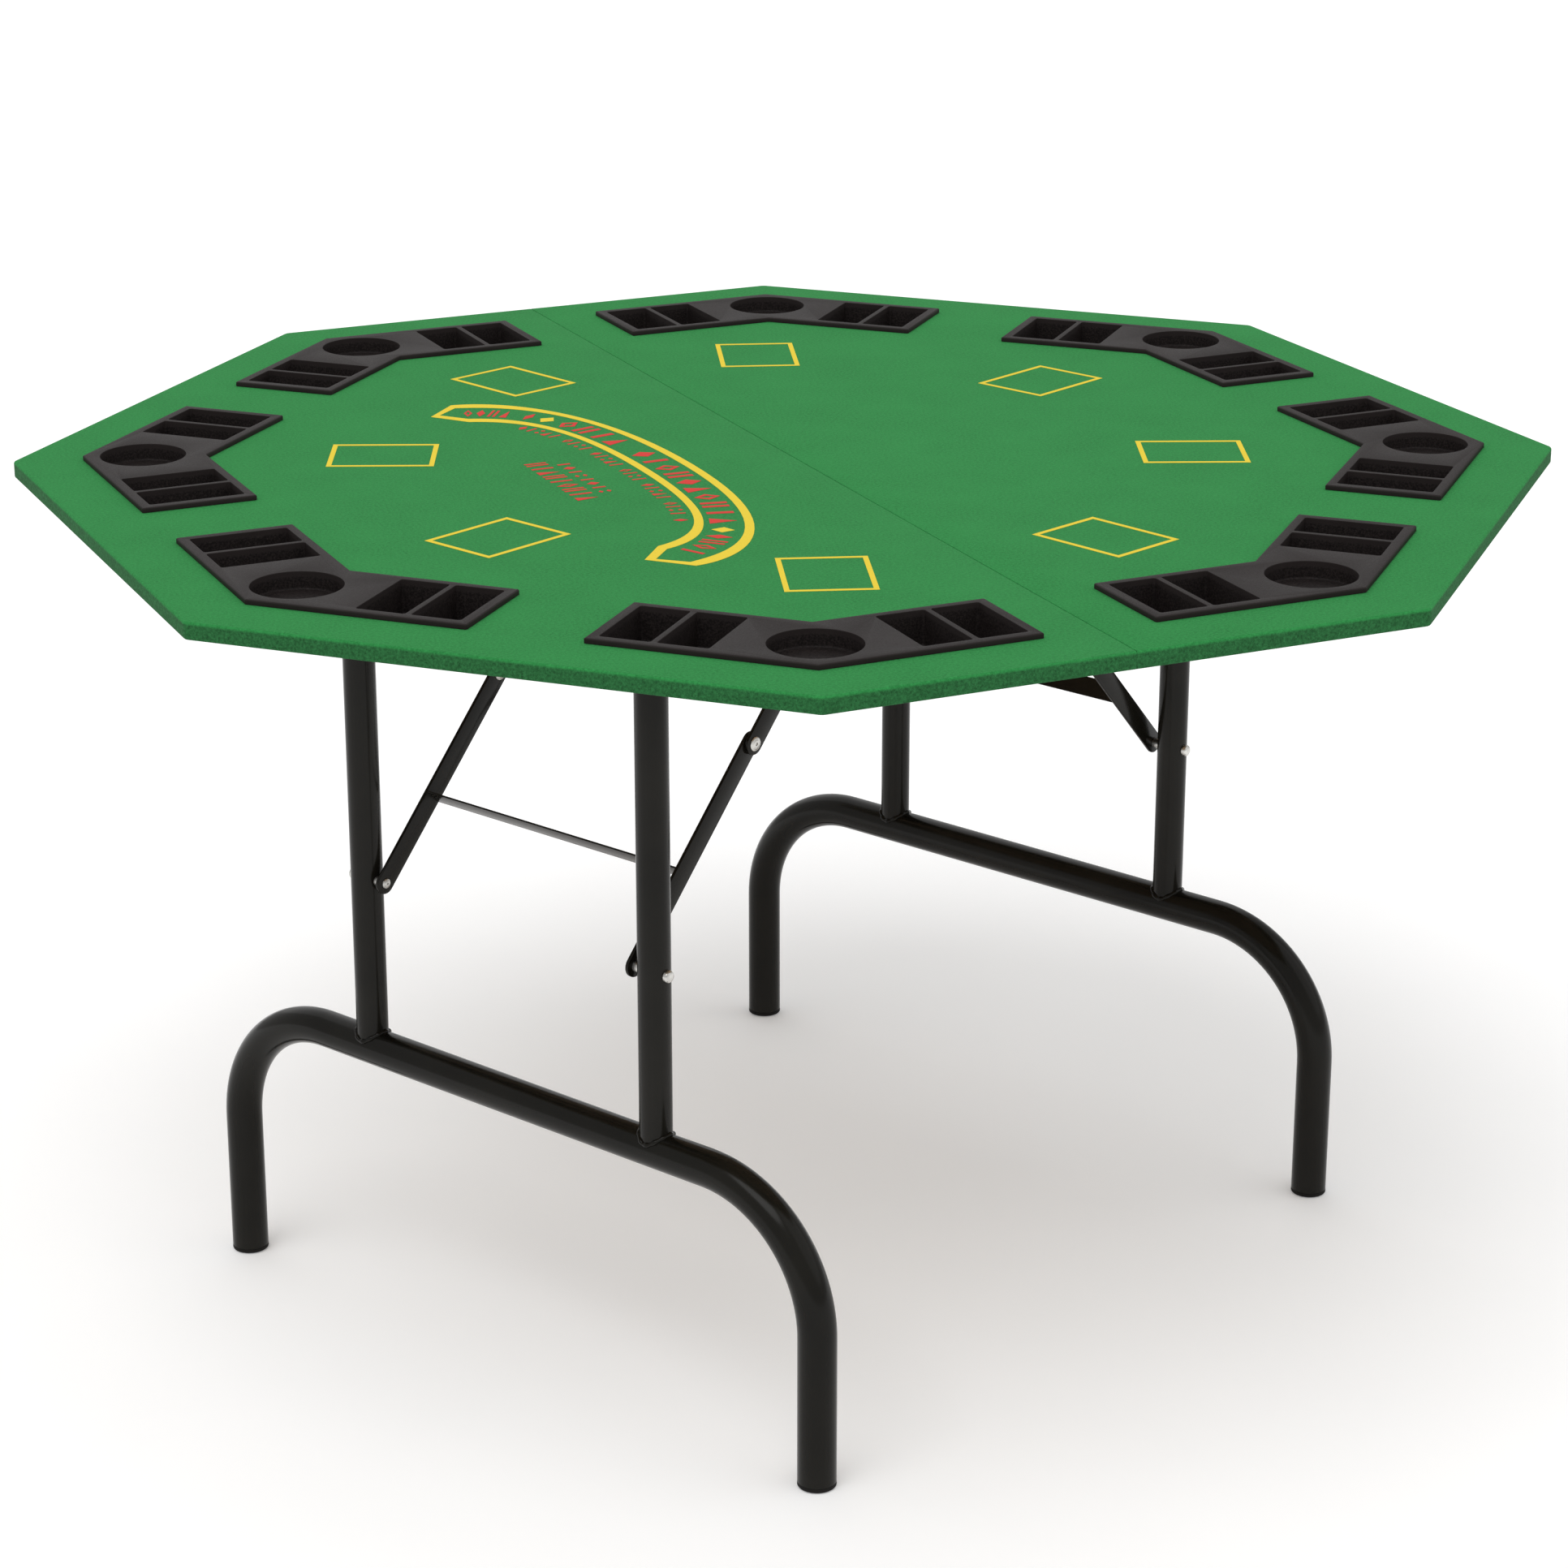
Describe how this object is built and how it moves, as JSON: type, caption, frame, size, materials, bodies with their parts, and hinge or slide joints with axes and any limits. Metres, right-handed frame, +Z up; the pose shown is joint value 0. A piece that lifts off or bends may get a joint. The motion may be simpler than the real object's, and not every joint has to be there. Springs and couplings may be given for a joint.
{
  "type": "folding card table",
  "caption": "Octagonal felt-topped card table with corner chip and cup trays, folding in half over tubular legs that fold flat with braces.",
  "frame": {"origin": "on the floor, under the centre of the open top", "axes": "+X across the fold seam, +Y along the fold seam, +Z up; the printed crescent lies on the -X half"},
  "size_m": [1.22, 1.22, 0.7283],
  "materials": {
    "felt": "short-napped green baize",
    "board": "bare fibreboard",
    "tray": "fine-grained moulded plastic",
    "steel": "satin black paint",
    "zinc": "zinc plated",
    "hinge": "yellow passivated",
    "cap": "matt",
    "catch": "matt"
  },
  "bodies": {
    "top_left": {"board_left": "board", "felt_left": "felt", "catch_magnet": "catch", "tray_3": "tray", "tray_4": "tray", "tray_5": "tray", "tray_6": "tray", "seam_hinge_left_a": "hinge", "seam_hinge_left_b": "hinge", "saddle_1_a": "steel", "saddle_1_b": "steel", "brace_bracket_1_a": "steel", "brace_bracket_1_b": "steel"},
    "top_right": {"board_right": "board", "felt_right": "felt", "catch_plate": "zinc", "tray_1": "tray", "tray_2": "tray", "tray_7": "tray", "tray_8": "tray", "seam_hinge_right_a": "hinge", "seam_hinge_right_b": "hinge", "saddle_2_a": "steel", "saddle_2_b": "steel", "brace_bracket_2_a": "steel", "brace_bracket_2_b": "steel"},
    "seam_hinge_links": {"seam_hinge_link_a": "zinc", "seam_hinge_link_b": "zinc"},
    "leg_left": {"leg_tube_1": "steel", "pivot_tube_1": "steel", "upright_1_a": "steel", "upright_1_b": "steel", "foot_cap_1_a": "cap", "foot_cap_1_b": "cap", "brace_bolt_1_a": "zinc", "brace_bolt_1_b": "zinc"},
    "lower_brace_left": {"lower_link_1_a": "steel", "lower_link_1_b": "steel", "knee_rivet_1_a": "zinc", "knee_rivet_1_b": "zinc", "brace_strip_1": "steel"},
    "upper_brace_left": {"upper_link_1_a": "steel", "upper_link_1_b": "steel"},
    "leg_right": {"leg_tube_2": "steel", "pivot_tube_2": "steel", "upright_2_a": "steel", "upright_2_b": "steel", "foot_cap_2_a": "cap", "foot_cap_2_b": "cap", "brace_bolt_2_a": "zinc", "brace_bolt_2_b": "zinc"},
    "lower_brace_right": {"lower_link_2_a": "steel", "lower_link_2_b": "steel", "knee_rivet_2_a": "zinc", "knee_rivet_2_b": "zinc", "brace_strip_2": "steel"},
    "upper_brace_right": {"upper_link_2_a": "steel", "upper_link_2_b": "steel"}
  },
  "joints": [
    {"name": "top_fold", "type": "hinge", "parent": "top_left", "child": "top_right", "pos_m": [0, 0, 0.724], "axis": [0, -1, 0], "range_deg": [0, 160]},
    {"name": "seam_hinge_swing", "type": "hinge", "parent": "top_left", "child": "seam_hinge_links", "pos_m": [0, 0, 0.724], "axis": [0, -1, 0], "range_deg": [0, 81]},
    {"name": "leg_fold_left", "type": "hinge", "parent": "top_left", "child": "leg_left", "pos_m": [-0.32357, -0.15226, 0.6912], "axis": [0.4258, -0.9048, 0], "range_deg": [0, 84]},
    {"name": "lower_brace_swing_left", "type": "hinge", "parent": "leg_left", "child": "lower_brace_left", "pos_m": [-0.32357, -0.15226, 0.3996], "axis": [0.4258, -0.9048, 0], "range_deg": [0, 47]},
    {"name": "upper_brace_swing_left", "type": "hinge", "parent": "top_left", "child": "upper_brace_left", "pos_m": [-0.07383, -0.03474, 0.6912], "axis": [0.4258, -0.9048, 0], "range_deg": [-42, 0]},
    {"name": "leg_fold_right", "type": "hinge", "parent": "top_right", "child": "leg_right", "pos_m": [0.32357, 0.15226, 0.6912], "axis": [-0.4258, 0.9048, 0], "range_deg": [0, 73]},
    {"name": "lower_brace_swing_right", "type": "hinge", "parent": "leg_right", "child": "lower_brace_right", "pos_m": [0.32357, 0.15226, 0.3996], "axis": [-0.4258, 0.9048, 0], "range_deg": [0, 42]},
    {"name": "upper_brace_swing_right", "type": "hinge", "parent": "top_right", "child": "upper_brace_right", "pos_m": [0.07383, 0.03474, 0.6912], "axis": [-0.4258, 0.9048, 0], "range_deg": [-43, 0]}
  ],
  "couplings": [
    {"joint": "seam_hinge_swing", "follows": "top_fold", "ratio": 0.5},
    {"joint": "lower_brace_swing_left", "follows": "leg_fold_left", "ratio": 0.545},
    {"joint": "upper_brace_swing_left", "follows": "leg_fold_left", "ratio": -0.4936},
    {"joint": "lower_brace_swing_right", "follows": "leg_fold_right", "ratio": 0.5648},
    {"joint": "upper_brace_swing_right", "follows": "leg_fold_right", "ratio": -0.5691}
  ]
}
